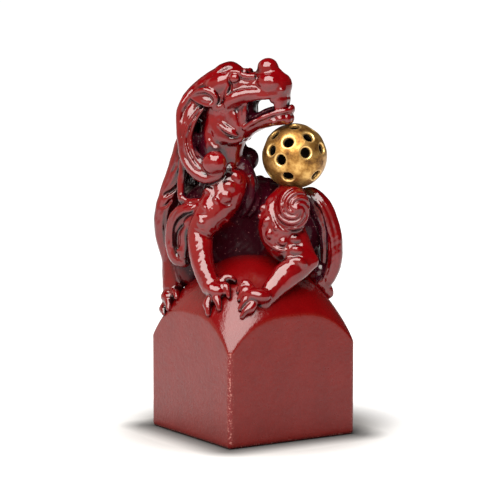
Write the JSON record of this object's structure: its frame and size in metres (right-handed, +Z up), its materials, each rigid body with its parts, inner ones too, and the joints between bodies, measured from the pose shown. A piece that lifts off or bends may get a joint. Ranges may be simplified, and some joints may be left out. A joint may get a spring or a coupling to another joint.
{
  "type": "seal stamp",
  "caption": "Figural seal stamp: a square red-glazed block with a domed top, carrying a crouching guardian beast that looks back and rests its chin on a pierced gilt ball.",
  "frame": {"origin": "middle of the flat sealing face, at the foot of the block", "axes": "+Z up from the sealing face to the beast's head; X and Y square to the block's side panels; the upright edge nearest the camera in the picture is at -X, -Y"},
  "size_m": [0.0526, 0.0501, 0.1268],
  "materials": {
    "block_red": "satin brick red on the four side panels, high-gloss deep red glaze on the domed top",
    "red_glaze": "thick high-gloss oxblood glaze, near black in the recesses and thinner and lighter on edges",
    "dark_red_glaze": "the same glaze pooled thick and dark inside the mouth",
    "gilding": "aged gilding, mottled brown, worn bright at the rims of the holes"
  },
  "bodies": {
    "root": {"seal_block": "block_red", "ball": "gilding", "torso": "red_glaze", "neck": "red_glaze", "head": "red_glaze", "lower_jaw": "red_glaze", "right_cheek": "red_glaze", "left_cheek": "red_glaze", "left_foreleg": "red_glaze", "right_foreleg": "red_glaze", "left_hindleg": "red_glaze", "right_hindleg": "red_glaze", "left_forepaw": "red_glaze", "left_hindpaw": "red_glaze", "right_forepaw": "red_glaze", "right_hindpaw": "red_glaze", "left_haunch_whorl": "red_glaze", "right_haunch_whorl": "red_glaze", "upper_teeth": "red_glaze", "tongue": "dark_red_glaze", "right_eye": "red_glaze", "left_eye": "red_glaze", "right_ear": "red_glaze", "left_ear": "red_glaze", "right_cheek_lock": "red_glaze", "left_cheek_lock": "red_glaze", "crest": "red_glaze", "mane_side_lock": "red_glaze", "mane_outer_lock": "red_glaze", "mane_back_lock": "red_glaze", "mane_far_lock": "red_glaze", "spine_ridge": "red_glaze", "left_elbow_curl": "red_glaze", "tail": "red_glaze", "tail_tip": "red_glaze"}
  },
  "joints": []
}
